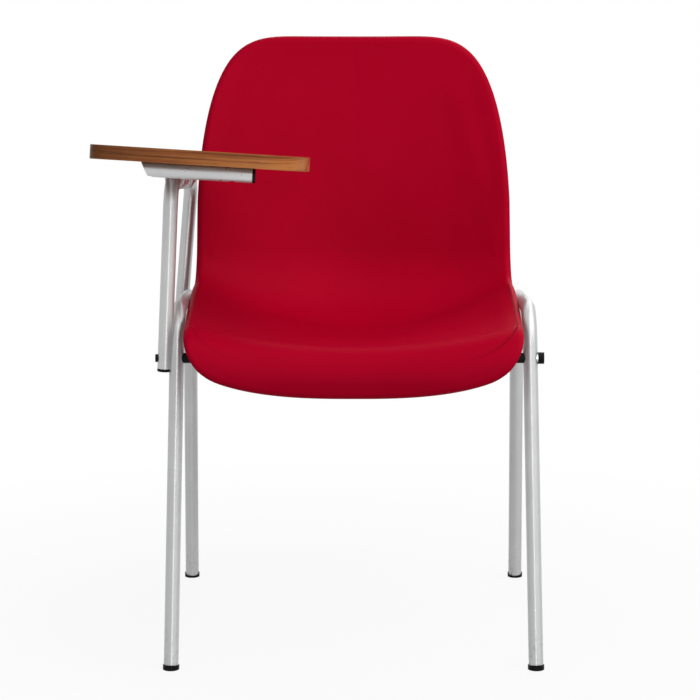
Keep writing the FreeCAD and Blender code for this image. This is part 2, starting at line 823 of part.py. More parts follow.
tablet_points = [
    V(-tablet_outer, -tablet_front, bar_top),
    V(tablet_inner, -tablet_front, bar_top),
    V(tablet_inner, tablet_inner_depth - tablet_front, bar_top),
    V(tablet_waist_inner, tablet_waist_depth - tablet_front, bar_top),
    V(tablet_tail_inner, tablet_rear, bar_top),
    V(-tablet_tail_outer, tablet_rear, bar_top),
]
tablet_radii = [
    tablet_outer_corner,
    tablet_inner_corner,
    tablet_waist_corner,
    tablet_waist_corner,
    tablet_tail_corner,
    tablet_tail_corner,
]
tablet_face = Part.Face(closed_path(tablet_points, tablet_radii))
board_face = tablet_face.makeOffset2D(-tablet_band)
rise = V(0, 0, tablet_thickness)
board = board_face.extrude(rise)
band = tablet_face.extrude(rise).cut(board)
for hole in board_holes:
    board = board.cut(hole)
keep_local("tablet_board", board)
keep_local("tablet_edge_band", band)

os.makedirs("parts", exist_ok=True)
for name in sorted(nodes):
    nodes[name].exportStep("parts/%s.step" % name)
    print(name, len(nodes[name].Solids), round(nodes[name].Volume))
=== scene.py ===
import json
import math

import bpy
import numpy as np
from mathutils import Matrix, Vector


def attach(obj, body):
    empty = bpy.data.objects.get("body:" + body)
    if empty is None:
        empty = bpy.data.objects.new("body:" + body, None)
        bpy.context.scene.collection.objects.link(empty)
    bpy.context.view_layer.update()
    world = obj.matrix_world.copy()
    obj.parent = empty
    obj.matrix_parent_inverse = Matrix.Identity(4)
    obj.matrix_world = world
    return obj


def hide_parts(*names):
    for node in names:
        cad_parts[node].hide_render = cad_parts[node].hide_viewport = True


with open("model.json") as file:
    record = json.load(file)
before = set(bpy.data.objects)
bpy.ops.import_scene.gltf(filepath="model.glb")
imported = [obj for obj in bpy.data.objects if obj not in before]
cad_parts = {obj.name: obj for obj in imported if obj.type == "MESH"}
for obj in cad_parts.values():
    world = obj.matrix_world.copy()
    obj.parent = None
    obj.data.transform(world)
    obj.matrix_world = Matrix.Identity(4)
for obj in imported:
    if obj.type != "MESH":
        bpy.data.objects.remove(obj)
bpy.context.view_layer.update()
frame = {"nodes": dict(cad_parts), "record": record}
scene = bpy.context.scene

# ---------------------------------------------------------------- bucket shape
# Lengths here are in millimetres. s runs along the middle of the bucket's front
# surface from the lip to the top of the back, x runs across.
MM = 0.001
SEAT_FRONT = (-207.0, 443.7)
LIP_DROP, LIP_RADIUS, LIP_TURN = 21.4, 40.0, 104.0
SEAT_FALL, SEAT_LENGTH = 4.0, 245.0
BEND_RADIUS, BEND_TURN = 115.0, 85.0
BACK_LENGTH, BACK_SWEEP = 319.0, 7.0
SEAT_HALF, BACK_HALF, TOP_HALF = 226.5, 227.5, 64.0
# Length, power and fullness of the outline's rounded ends
LIP_CORNER = (81.0, 2.16, 0.372)
TOP_CORNER = (320.0, 2.47, 0.246)
# How far the sides stand in front of the middle, from the lip to the top
CURLS = (3.5, 29.0, 48.0, 61.0, 54.0, 46.0, 34.0, 11.0)
LEAST_CURL = 0.2
BACK_CURL_SHARE = 0.4
# Radius of the rounded edge at the sides and at the ends, and how far the ends reach
EDGE_RADIUS = 7.0
END_RADIUS = 11.5
END_REACH = 60.0
PAD_END_REACH = 40.0
END_SWELL = 0.8
LEAST_HALF = 20
PAD_THICKNESS = 16.0
PAD_CLEARANCE = 0.4
RIM_PAD = 4.3
BUCKET_THICKNESS = 24.6
COVER_THICKNESS = 3.2
# The hidden faces stay this far inside the outline.
HIDDEN_MARGIN = 14.0
PROFILE_STEPS = 8000

lip_arc = math.radians(LIP_TURN) * LIP_RADIUS
bend_arc = math.radians(BEND_TURN) * BEND_RADIUS
seat_start = LIP_DROP + lip_arc
bend_start = seat_start + SEAT_LENGTH
back_start = bend_start + bend_arc
LENGTH = back_start + BACK_LENGTH

knots = [0, LIP_DROP, seat_start, bend_start, back_start, LENGTH]
level = LIP_TURN - SEAT_FALL
rise = BEND_TURN - SEAT_FALL
headings = [level, level, -SEAT_FALL, -SEAT_FALL, rise, rise - BACK_SWEEP]
fine_s = np.linspace(0, LENGTH, PROFILE_STEPS + 1)
fine_heading = np.radians(np.interp((fine_s[1:] + fine_s[:-1]) / 2, knots, headings))
fine_y = np.concatenate([[0], np.cumsum(np.cos(fine_heading) * fine_s[1])])
fine_z = np.concatenate([[0], np.cumsum(np.sin(fine_heading) * fine_s[1])])
fine_y += SEAT_FRONT[0] - np.interp(seat_start, fine_s, fine_y)
fine_z += SEAT_FRONT[1] - np.interp(seat_start, fine_s, fine_z)
curl_s = np.array([0, seat_start, seat_start + SEAT_LENGTH / 2, bend_start, bend_start + bend_arc / 2,
                   back_start, back_start + BACK_LENGTH * BACK_CURL_SHARE, LENGTH])
curl_n = np.array(CURLS)


def curl_at(s):
    """Smooth curve through the curls."""
    wide_s = np.concatenate([curl_s[:1], curl_s, curl_s[-1:]])
    wide_n = np.concatenate([curl_n[:1], curl_n, curl_n[-1:]])
    slope = (wide_n[2:] - wide_n[:-2]) / (wide_s[2:] - wide_s[:-2])
    i = np.clip(np.searchsorted(curl_s, s) - 1, 0, len(curl_s) - 2)
    span = curl_s[i + 1] - curl_s[i]
    t = (s - curl_s[i]) / span
    ease = curl_n[i] + (curl_n[i + 1] - curl_n[i]) * t * t * (3 - 2 * t)
    return ease + slope[i] * span * t * (1 - t) ** 2 - slope[i + 1] * span * t * t * (1 - t)


def rounding(t, corner):
    """Share of the full width at t from an end of the outline."""
    length, power, fullness = corner
    return (1 - (1 - np.clip(t, 0, length) / length) ** power) ** fullness


def side_width(s):
    return np.interp(s, [bend_start, back_start], [SEAT_HALF, BACK_HALF])


def half_width(s):
    top = TOP_HALF + (BACK_HALF - TOP_HALF) * rounding(LENGTH - s, TOP_CORNER)
    return np.minimum(np.minimum(side_width(s), SEAT_HALF * rounding(s, LIP_CORNER)), top)


def place(s, x, depth):
    """Points in metres at depth under the front surface, along its normal."""
    heading = np.radians(np.interp(s, knots, headings))
    width = half_width(s)
    curl = curl_at(s) * (width / side_width(s)) ** 2
    half = np.maximum(width - EDGE_RADIUS, 2 * EDGE_RADIUS)
    curl = np.maximum(curl, LEAST_CURL)
    radius = (half * half + curl * curl) / (2 * curl)
    lean = np.arcsin(np.clip(x / radius, -1, 1))
    across = x + depth * np.sin(lean)
    out = radius * (1 - np.cos(lean)) - depth * np.cos(lean)
    y = np.interp(s, fine_s, fine_y) - np.sin(heading) * out
    z = np.interp(s, fine_s, fine_z) + np.cos(heading) * out
    return np.stack([across, y, z], -1) * MM


# ---------------------------------------------------------------- outline and grid
EDGE_STEPS = 4000
TURN_STEPS = 1200
# The grid's corners are where the outline has turned this far, in degrees.
CORNER_TURN = 45


def resample(points, shares):
    """Points of a polyline at shares of its length."""
    run = np.concatenate([[0], np.cumsum(np.linalg.norm(np.diff(points, axis=0), axis=1))])
    at = np.asarray(shares) * run[-1]
    return np.stack([np.interp(at, run, points[:, k]) for k in (0, 1)], -1)


edge_s = (1 - np.cos(np.linspace(0, math.pi, EDGE_STEPS + 1))) / 2 * LENGTH
right_edge = np.stack([edge_s, half_width(edge_s)], -1)
right_edge = np.concatenate([right_edge, [[LENGTH, 0.0]]])
turn = np.diff(resample(right_edge, np.linspace(0, 1, TURN_STEPS + 1)), axis=0)
turn = np.degrees(np.arctan2(turn[:, 1], turn[:, 0]))
lip_share = np.argmax(turn < CORNER_TURN) / TURN_STEPS
top_share = (len(turn) - np.argmax(turn[::-1] > -CORNER_TURN)) / TURN_STEPS


def outline(us, vs):
    """Edge of the bucket as four sides: lip, right, top, left, at shares us across and vs along."""
    across = np.abs(2 * us - 1)
    mirror = np.stack([us * 0 + 1, np.sign(us - 0.5)], -1)
    lip = resample(right_edge, across * lip_share) * mirror
    top = resample(right_edge, 1 - across * (1 - top_share)) * mirror
    right = resample(right_edge, lip_share + vs * (top_share - lip_share))
    return lip, right, top, right * [1, -1]


def loop(sides):
    lip, right, top, left = sides
    return np.concatenate([lip[:-1], right[:-1], top[::-1][:-1], left[::-1][:-1]])


def inset(points, distance):
    """The closed loop moved inwards by a distance for each point."""
    run = np.roll(points, -1, axis=0) - np.roll(points, 1, axis=0)
    run /= np.linalg.norm(run, axis=1)[:, None]
    normal = np.stack([run[:, 1], -run[:, 0]], -1)
    return points + normal * np.asarray(distance)[:, None]


def patch(points, us, vs):
    """Grid of places inside a closed loop, with a row for each of vs and a column for each of us."""
    nu, nv = len(us) - 1, len(vs) - 1
    ring = np.concatenate([points, points[:1]])
    lip, right = ring[:nu + 1], ring[nu:nu + nv + 1]
    top, left = ring[nu + nv:2 * nu + nv + 1][::-1], ring[2 * nu + nv:][::-1]
    u, v = us[None, :, None], vs[:, None, None]
    grid = (1 - v) * lip[None] + v * top[None] + (1 - u) * left[:, None] + u * right[:, None]
    grid -= (1 - u) * (1 - v) * lip[0] + u * (1 - v) * lip[-1] + (1 - u) * v * top[0] + u * v * top[-1]
    return grid


def end_fade(s, reach):
    """0 at the lip and at the top, rising smoothly to 1 at reach from them."""
    t = np.clip(np.minimum(s, LENGTH - s) / reach, 0, 1)
    return t * t * (3 - 2 * t)


def edge_radius(points):
    """Radius of the rounded edge: the ends of the bucket are rounder than its sides."""
    return END_RADIUS + (EDGE_RADIUS - END_RADIUS) * end_fade(points[:, 0], END_REACH)


def graded(spans):
    """Rising shares from 0 to 1 with a step for each span of (end, step)."""
    values, start = [0.0], 0.0
    for end, step in spans:
        n = max(1, round((end - start) / step))
        values += [start + (end - start) * (k + 1) / n for k in range(n)]
        start = end
    return np.array(values)


# ---------------------------------------------------------------- sewn shapes on the front
# Seam of the side panels as (s, x): along the crest of the seat's sides, then across the front corners.
SEAM = np.array([(352, 222.0), (274, 222.0), (209, 222.0), (174, 222.0), (125, 222.0), (103, 221.0),
                 (90, 218.3), (77, 210.3), (69, 199.5), (62.5, 186.7), (58, 175.0), (53.5, 156.7),
                 (51, 135.0)])
SEAM_STEPS = 260
SEAM_WIDTH = 1.3
SEAM_DEPTH = 1.5
# The cover is drawn in a little on both sides of the seam.
SEAM_PULL = 9.0
PULL_DEPTH = 0.8
SEAM_LEFT_SHARE = 0.45
# Shares of the seam's length over which it starts and ends
SEAM_START, SEAM_END = 0.12, 0.30
# Places past this s or inside this x are too far from the seam to be measured.
SEAM_REACH = (380, 80)
FAR_AWAY = 99.0
MEASURED_AT_ONCE = 4000
# Outside the seam the side panels of the front corners turn down.
ROLL_DROP = 4.0
ROLL_SPAN = 18.0
ROLL_POWER = 1.5
ROLL_MOST = 1.2
# Crest of the front roll as (x, s), where the seat's hollow begins
CREST = np.array([(-235, 118), (-216, 140), (-144, 192), (-60, 216), (0, 220), (60, 213), (144, 178),
                  (216, 138), (235, 118)])
CREST_HEIGHT = 1.0
CREST_WIDTH = 52.0
CREST_FADE = 40.0


def near_seam(s, x):
    """Distance from the seam, how strong it is there, and how far outside it a place lies."""
    share = np.linspace(0, 1, SEAM_STEPS)
    line = resample(SEAM, share)
    strength = np.clip(share / SEAM_START, 0, 1) * np.clip((1 - share) / SEAM_END, 0, 1)
    along = np.gradient(line, axis=0)
    outward = np.stack([along[:, 1], -along[:, 0]], -1) / np.linalg.norm(along, axis=1)[:, None]
    flat = np.stack([s.ravel(), np.abs(x).ravel()], -1)
    far = np.full(len(flat), FAR_AWAY)
    power, outside = np.zeros(len(flat)), np.zeros(len(flat))
    pick = np.where((flat[:, 0] < SEAM_REACH[0]) & (flat[:, 1] > SEAM_REACH[1]))[0]
    for part in np.array_split(pick, max(1, len(pick) // MEASURED_AT_ONCE)):
        gap = np.linalg.norm(flat[part][:, None] - line[None], axis=2)
        best = gap.argmin(axis=1)
        far[part] = gap[np.arange(len(part)), best]
        power[part] = strength[best]
        outside[part] = ((flat[part] - line[best]) * outward[best]).sum(axis=1)
    return far.reshape(s.shape), power.reshape(s.shape), outside.reshape(s.shape)


def sewn_depth(s, x):
    """How far seams and rolls put the front surface under its plain shape, and how strong the painted
    shade in the seam's groove is.
    """
    far, power, outside = near_seam(s, x)
    roll = ROLL_DROP * power * np.clip(outside / ROLL_SPAN, 0, ROLL_MOST) ** ROLL_POWER
    power = power * np.where(x < 0, SEAM_LEFT_SHARE, 1.0)
    groove = power * np.exp(-(far / SEAM_WIDTH) ** 2)
    pulled = power * np.exp(-(far / SEAM_PULL) ** 2)
    crest_s = np.interp(x, CREST[:, 0], CREST[:, 1])
    away = (s - crest_s) / CREST_WIDTH
    crest = np.exp(-away * away) * np.clip((half_width(s) - np.abs(x)) / CREST_FADE, 0, 1)
    return SEAM_DEPTH * groove + PULL_DEPTH * pulled + roll - CREST_HEIGHT * crest, groove


# ---------------------------------------------------------------- meshes
# Rings of the rounded edge as (degrees round from the face, tuck). The last three turn in along the
# joint between the two covers.
RINGS = [(angle, 0.0) for angle in (14, 28, 42, 56, 70, 80)] + [(86, 0.35), (89, 1.6), (90, 3.5)]


def mesh_object(name, points, faces, smooth=True):
    mesh = bpy.data.meshes.new(name)
    mesh.from_pydata(np.asarray(points).tolist(), [], faces)
    mesh.validate()
    mesh.update()
    if smooth:
        mesh.polygons.foreach_set("use_smooth", [True] * len(mesh.polygons))
    obj = bpy.data.objects.new(name, mesh)
    scene.collection.objects.link(obj)
    return obj


def perimeter(array):
    return np.concatenate([array[0, :-1], array[:-1, -1], array[-1, ::-1][:-1], array[::-1, 0][:-1]])


class Cover:
    """A closed upholstered layer: a visible face, a rounded edge and a hidden inner face."""

    def __init__(self, us, vs, face, rings, hidden):
        self.us, self.vs = us, vs
        self.edge = loop(outline(us, vs))
        self.radius = edge_radius(self.edge)
        self.grid = patch(inset(self.edge, self.radius), us, vs)
        self.face_depth = face(self.grid[..., 0], self.grid[..., 1])
        self.rings = rings
        self.hidden = hidden

    def build(self, name, flip, every=1):
        """The mesh. Its hidden face has each every-th row and column, and self.places keeps (s, x)."""
        rows, columns = len(self.vs), len(self.us)
        count = rows * columns
        ids = np.arange(count).reshape(rows, columns)
        points = [place(self.grid[..., 0], self.grid[..., 1], self.face_depth).reshape(-1, 3)]
        faces = []

        def quad(a, b, c, d):
            faces.append((a, d, c, b) if flip else (a, b, c, d))

        def triangle(a, b, c):
            faces.append((b, a, c) if flip else (a, b, c))

        for i in range(rows - 1):
            for j in range(columns - 1):
                quad(ids[i, j], ids[i, j + 1], ids[i + 1, j + 1], ids[i + 1, j])
        border = perimeter(ids)
        edge_depth = perimeter(self.face_depth)
        last = border
        self.places = [self.grid.reshape(-1, 2)]
        for ring in self.rings:
            where, depth = ring(self.edge, self.radius, edge_depth)
            self.places.append(where)
            points.append(place(where[:, 0], where[:, 1], depth))
            here = count + np.arange(len(border))
            count += len(border)
            for k in range(len(border)):
                n = (k + 1) % len(border)
                quad(last[n], last[k], here[k], here[n])
            last = here
        # The hidden face has fewer rows and columns, joined to the edge by fans.
        cu = np.unique(np.append(np.arange(0, columns, every), columns - 1))
        cv = np.unique(np.append(np.arange(0, rows, every), rows - 1))
        s, x = self.grid[np.ix_(cv, cu)][..., 0], self.grid[np.ix_(cv, cu)][..., 1]
        s = np.clip(s, HIDDEN_MARGIN, LENGTH - HIDDEN_MARGIN)
        x = np.clip(x, -half_width(s) + HIDDEN_MARGIN, half_width(s) - HIDDEN_MARGIN)
        points.append(place(s, x, self.hidden(s, x)).reshape(-1, 3))
        inner = count + np.arange(len(cv) * len(cu)).reshape(len(cv), len(cu))
        for i in range(len(cv) - 1):
            for j in range(len(cu) - 1):
                quad(inner[i + 1, j], inner[i + 1, j + 1], inner[i, j + 1], inner[i, j])
        inner_loop = perimeter(inner)
        nu, nv = columns - 1, rows - 1
        stops = np.concatenate([
            cu[:-1],
            nu + cv[:-1],
            nu + nv + (nu - cu[::-1])[:-1],
            2 * nu + nv + (nv - cv[::-1])[:-1],
        ])
        for c in range(len(stops)):
            start, end = stops[c], stops[c + 1] if c + 1 < len(stops) else len(border)
            middle = (start + end) // 2 if every > 1 else end
            this, following = inner_loop[c], inner_loop[(c + 1) % len(stops)]
            for k in range(start, end):
                triangle(last[(k + 1) % len(border)], last[k], this if k < middle else following)
            triangle(last[middle % len(border)], this, following)
        return mesh_object(name, np.concatenate(points), faces)


def front_ring(angle, tuck):
    """Ring of the front cover's rounded edge, which also takes up the face's depth there."""
    turned = math.radians(angle)

    def ring(edge, radius, depth):
        distance = radius * (1 - math.sin(turned)) + tuck
        return inset(edge, distance), radius * (1 - math.cos(turned)) + depth * math.cos(turned)
    return ring


def rear_ring(angle, tuck):
    """Ring of the rear cover's rounded edge."""
    turned = math.radians(angle)

    def ring(edge, radius, depth):
        distance = radius * (1 - math.sin(turned)) + tuck
        return inset(edge, distance), radius + radius * math.cos(turned)
    return ring


def pad_hidden(s, x):
    """Depth of the front cover's hidden face."""
    spread = np.clip(np.abs(x) / np.maximum(half_width(s) - 2 * EDGE_RADIUS, LEAST_HALF), 0, 1)
    thickness = PAD_THICKNESS - PAD_CLEARANCE - RIM_PAD
    return RIM_PAD + thickness * (1 - spread ** 2) * end_fade(s, PAD_END_REACH)


def rear_face(s, x):
    """Depth of the rear cover's visible face."""
    spread = np.clip(np.abs(x) / np.maximum(half_width(s) - EDGE_RADIUS, LEAST_HALF), 0, 1)
    thin = 2 * EDGE_RADIUS
    wide = thin + (BUCKET_THICKNESS - thin) * (1 - spread ** 2)
    end = end_fade(s, END_REACH)
    return wide * end + (1 - end) * (2 * END_RADIUS + END_SWELL * (1 - spread ** 2))


def rear_hidden(s, x):
    return rear_face(s, x) - COVER_THICKNESS


front_rings = [front_ring(*ring) for ring in RINGS]
rear_rings = [rear_ring(*ring) for ring in RINGS]

# ---------------------------------------------------------------- front upholstery
# The simulated face, in rows and columns, and the share and cap of its movement that are used
PUFF_ROWS, PUFF_COLUMNS = 111, 61
PUFF_FRAMES = 20
PUFF_SHARE = 0.4
PUFF_CAP = 2.0
# Points this near to a seam of this strength are held.
HELD_DISTANCE, HELD_STRENGTH = 5.0, 0.3
CLOTH = {
    "quality": 6,
    "mass": 0.4,
    "tension_stiffness": 60,
    "compression_stiffness": 60,
    "shear_stiffness": 12,
    "bending_stiffness": 2.0,
    "use_pressure": True,
    "uniform_pressure_force": 0.5,
}
# Finer steps at the rim, and where the seam crosses the front corners
FRONT_US = graded([(0.09, 0.0032), (0.91, 0.0088), (1.0, 0.0032)])
FRONT_VS = graded([(0.028, 0.0028), (0.085, 0.0019), (0.94, 0.0044), (1.0, 0.0035)])
FRONT_HIDDEN_STEP = 4


def cubic(count, fine):
    """Weights that read a row of count even values at finer shares with a smooth curve."""
    n = count - 1
    at = np.clip(fine * n, 0, n - 1e-9)
    i = at.astype(int)
    t = at - i
    table = np.zeros((len(fine), n + 1))
    weights = (-0.5 * t + t ** 2 - 0.5 * t ** 3, 1 - 2.5 * t ** 2 + 1.5 * t ** 3,
               0.5 * t + 2 * t ** 2 - 1.5 * t ** 3, -0.5 * t ** 2 + 0.5 * t ** 3)
    for k, w in enumerate(weights):
        np.add.at(table, (np.arange(len(fine)), np.clip(i + k - 1, 0, n)), w)
    return table


def puffed():
    """Depth that foam pressure gives the face on an even grid, in millimetres: below 0 it rises."""
    us, vs = np.linspace(0, 1, PUFF_COLUMNS), np.linspace(0, 1, PUFF_ROWS)
    coarse = Cover(us, vs, lambda s, x: 0 * s, front_rings[1::2], pad_hidden)
    obj = coarse.build("puff_source", False)
    s, x = coarse.grid[..., 0], coarse.grid[..., 1]
    grid_count = len(us) * len(vs)
    far, power = near_seam(s, x)[:2]
    held = obj.vertex_groups.new(name="held")
    held.add(list(range(grid_count, len(obj.data.vertices))), 1.0, "REPLACE")
    sewn = np.where((far < HELD_DISTANCE) & (power > HELD_STRENGTH))
    held.add((sewn[0] * len(us) + sewn[1]).tolist(), 1.0, "REPLACE")
    before = np.array([v.co for v in obj.data.vertices])[:grid_count]
    cloth = obj.modifiers.new("cloth", "CLOTH")
    cloth.settings.vertex_group_mass = "held"
    for key, value in CLOTH.items():
        setattr(cloth.settings, key, value)
    cloth.settings.effector_weights.gravity = 0
    cloth.point_cache.frame_start, cloth.point_cache.frame_end = 1, PUFF_FRAMES
    for step in range(1, PUFF_FRAMES + 1):
        scene.frame_set(step)
    shape = obj.evaluated_get(bpy.context.evaluated_depsgraph_get()).data
    after = np.array([v.co for v in shape.vertices])[:grid_count]
    normal = (place(s, x, -np.ones(s.shape)) - place(s, x, 0 * s)).reshape(-1, 3) / MM
    moved = ((after - before) * normal).sum(axis=1).reshape(s.shape) / MM
    scene.frame_set(1)
    bpy.data.objects.remove(obj)
    return -PUFF_CAP * np.tanh(PUFF_SHARE * moved / PUFF_CAP)


puff = puffed()
front_puff = cubic(PUFF_ROWS, FRONT_VS) @ puff @ cubic(PUFF_COLUMNS, FRONT_US).T
front = Cover(FRONT_US, FRONT_VS, lambda s, x: sewn_depth(s, x)[0] + front_puff, front_rings, pad_hidden)
seat = front.build("seat_back_upholstery", False, FRONT_HIDDEN_STEP)
# The attribute "seam" carries the painted shade in the seam's groove to the material.
places = np.concatenate(front.places)
seam_shade = sewn_depth(places[:, 0], places[:, 1])[1]
layer = seat.data.attributes.new("seam", "FLOAT", "POINT")
values = np.zeros(len(seat.data.vertices), np.float32)
values[:len(seam_shade)] = seam_shade
layer.data.foreach_set("value", values)
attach(seat, "chair")
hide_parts("seat_back_pad")

# ---------------------------------------------------------------- rear upholstery
REAR_US = np.linspace(0, 1, 91)
REAR_VS = np.linspace(0, 1, 166)
REAR_HIDDEN_STEP = 3
rear = Cover(REAR_US, REAR_VS, rear_face, rear_rings, rear_hidden)
back = rear.build("rear_upholstery", True, REAR_HIDDEN_STEP)
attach(back, "chair")
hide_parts("rear_cover")

# ---------------------------------------------------------------- materials
# Noise scales are in cycles per metre and bump distances in metres. Colours are linear.
MIX_FACTOR, MIX_A, MIX_B, MIX_RESULT = 0, 6, 7, 2


class Paint:
    """A node material: node() adds a node, set values by socket name, link by passing a socket."""

    def __init__(self, name, **values):
        self.material = bpy.data.materials.new(name)
        self.material.use_nodes = True
        self.tree = self.material.node_tree
        self.tree.nodes.clear()
        self.out = self.tree.nodes.new("ShaderNodeOutputMaterial")
        self.shader = self.node("ShaderNodeBsdfPrincipled", **values)
        self.tree.links.new(self.shader.outputs[0], self.out.inputs[0])
        self.object = self.node("ShaderNodeTexCoord").outputs["Object"]

    def node(self, kind, props=None, **values):
        node = self.tree.nodes.new(kind)
        for key, value in (props or {}).items():
            setattr(node, key, value)
        for key, value in values.items():
            self.put(node, key.replace("_", " "), value)
        return node

    def put(self, node, key, value):
        socket = node.inputs[int(key)] if key.isdigit() else node.inputs[key]
        if isinstance(value, bpy.types.NodeSocket):
            self.tree.links.new(value, socket)
        else:
            socket.default_value = value

    def noise(self, scale, detail=2.0, roughness=0.5, vector=None, stretch=None, distortion=0.0):
        vector = vector or self.object
        if stretch:
            vector = self.node("ShaderNodeMapping", Vector=vector, Scale=stretch).outputs[0]
        return self.node("ShaderNodeTexNoise", Vector=vector, Scale=scale, Detail=detail,
                         Roughness=roughness, Distortion=distortion).outputs["Fac"]

    def ramp(self, value, *stops):
        node = self.node("ShaderNodeValToRGB", Fac=value)
        while len(node.color_ramp.elements) < len(stops):
            node.color_ramp.elements.new(0.5)
        for element, (at, colour) in zip(node.color_ramp.elements, stops):
            element.position = at
            element.color = (*colour, 1.0) if isinstance(colour, tuple) else (colour, colour, colour, 1.0)
        return node.outputs["Color"]

    def math(self, operation, a, b=0.0):
        node = self.node("ShaderNodeMath", {"operation": operation})
        self.put(node, "0", a)
        self.put(node, "1", b)
        return node.outputs[0]

    def range(self, value, low, high, start=0.0, end=1.0):
        """value mapped from start and end to low and high, and held there."""
        node = self.node("ShaderNodeMapRange", Value=value)
        for key, number in (("From Min", start), ("From Max", end), ("To Min", low), ("To Max", high)):
            node.inputs[key].default_value = number
        return node.outputs["Result"]

    def mix(self, factor, a, b, blend="MIX"):
        node = self.node("ShaderNodeMix", {"data_type": "RGBA", "blend_type": blend})
        self.put(node, str(MIX_FACTOR), factor)
        for key, colour in ((MIX_A, a), (MIX_B, b)):
            self.put(node, str(key), (*colour, 1.0) if isinstance(colour, tuple) else colour)
        return node.outputs[MIX_RESULT]

    def bump(self, height, strength, distance, under=None):
        node = self.node("ShaderNodeBump", Height=height, Strength=strength, Distance=distance)
        if under:
            self.put(node, "Normal", under)
        return node.outputs["Normal"]

    def finish(self, colour, roughness=None, normal=None):
        for key, value in (("Base Color", colour), ("Roughness", roughness), ("Normal", normal)):
            if value is not None:
                self.put(self.shader, key, value)
        return self.material


RED_DEEP, RED_PALE = (0.405, 0.0003, 0.0160), (0.445, 0.0006, 0.0190)
# The seam colour below and its share are painted shade in the seam's groove; the pit colour is painted
# shade in the grain's pits.
RED_PIT_SHADE, RED_SEAM_SHADE = (0.22, 0.0003, 0.009), (0.11, 0.0003, 0.006)
SEAM_SHADE_SHARE = 0.75


def leatherette():
    """Red leatherette with a fine cell grain, pores and a slow unevenness, with painted shade in the
    grain's pits and in the seam's groove.
    """
    p = Paint("red_leatherette", Specular_IOR_Level=0.018)
    warp = p.noise(160, 2)
    cells = p.node("ShaderNodeTexVoronoi", {"feature": "SMOOTH_F1"}, Vector=p.object, Scale=720.0,
                   Smoothness=0.35)
    grain = cells.outputs["Distance"]
    pores = p.noise(2600, 2)
    cloud = p.noise(7, 3)
    tone = p.ramp(cloud, (0.3, RED_DEEP), (0.7, RED_PALE))
    # Painted shade: the pits of the cell grain are darkened a little.
    tone = p.mix(p.range(grain, 0.10, 0.0, 0.0, 0.5), tone, RED_PIT_SHADE)
    # Painted shade: the seam's groove is darkened by the attribute seam.
    seam = p.node("ShaderNodeAttribute", {"attribute_name": "seam"}).outputs["Fac"]
    tone = p.mix(p.math("MULTIPLY", seam, SEAM_SHADE_SHARE), tone, RED_SEAM_SHADE)
    rough = p.math("ADD", p.range(cloud, 0.40, 0.50), p.range(warp, -0.03, 0.03))
    uneven = p.bump(p.noise(38, 3), 0.10, 0.0012)
    normal = p.bump(grain, 0.30, 0.00035, p.bump(pores, 0.12, 0.0002, uneven))
    return p.finish(tone, rough, normal)


# Heights in metres over which the patchy darkening just above the floor fades
FOOT_DARK_FADE = (0.004, 0.07)
FOOT_DARK_TONE = (0.30, 0.30, 0.29)


def silver(name, base, low, high):
    """Silver paint with its gloss drawn out along the legs, roughness low to high, darker in patches and
    rougher just above the floor.
    """
    p = Paint(name, Metallic=0.6, Specular_IOR_Level=0.5, Anisotropic=0.85, Anisotropic_Rotation=0.25)
    tangent = p.node("ShaderNodeTangent", {"direction_type": "RADIAL", "axis": "Z"})
    p.put(p.shader, "Tangent", tangent.outputs[0])
    flake = p.node("ShaderNodeTexVoronoi", Vector=p.object, Scale=2600.0).outputs["Color"]
    cloud = p.noise(22, 4)
    deep = (base - 0.02, base - 0.015, base - 0.015)
    pale = (base + 0.02, base + 0.025, base + 0.025)
    tone = p.ramp(cloud, (0.3, deep), (0.7, pale))
    tone = p.mix(0.02, tone, flake, "SOFT_LIGHT")
    z = p.node("ShaderNodeSeparateXYZ", Vector=p.object).outputs["Z"]
    # Just above the floor the tone is darker in patches and the roughness higher.
    patches = p.range(p.noise(190, 5, 0.7), 0, 1, 0.52, 0.62)
    foot_patches = p.math("MULTIPLY", p.range(z, 1.0, 0.0, *FOOT_DARK_FADE), patches)
    tone = p.mix(p.math("MULTIPLY", foot_patches, 0.35), tone, FOOT_DARK_TONE)
    foot_rough = p.math("MULTIPLY", foot_patches, 0.25)
    rough = p.math("ADD", p.range(p.noise(60, 4), low, high, 0.3, 0.7), foot_rough)
    return p.finish(tone, rough, p.bump(p.noise(900, 3), 0.015, 0.0002))


def plastic(name, deep, pale, rough):
    """Moulded plastic with a fine texture."""
    p = Paint(name, Specular_IOR_Level=0.08)
    tone = p.ramp(p.noise(45, 3), (0.35, deep), (0.72, pale))
    normal = p.bump(p.noise(1500, 2), 0.12, 0.0002)
    return p.finish(tone, p.range(p.noise(130, 3), rough - 0.06, rough + 0.06, 0.3, 0.7), normal)


def steel(name, deep, pale, rough):
    """Plated steel with fine streaks."""
    p = Paint(name, Metallic=1.0)
    streak = p.noise(900, 3, stretch=(1.0, 0.12, 1.0))
    tone = p.ramp(p.noise(120, 4), (0.35, deep), (0.7, pale))
    rough = p.range(streak, rough - 0.08, rough + 0.10, 0.3, 0.7)
    return p.finish(tone, rough, p.bump(streak, 0.08, 0.0001))


# Direction of the tablet's grain, and how much the figure is drawn out along it
GRAIN = (0.9980, -0.0241, -0.0589)
GRAIN_STRETCH = 0.022
# Reach of the tablet along its grain, in metres, and the painted shade along it: the outer end is painted
# darker, as if in shade, and the inner end lighter, as if lit.
WOOD_SPAN = (-0.35, -0.07)
WOOD_PAINTED_SHADE = ((0.0, 0.40), (0.45, 0.78), (1.0, 0.88))
WOOD_DARK = (0.16, 0.039, 0.014)
PORE_SHARE = 0.45


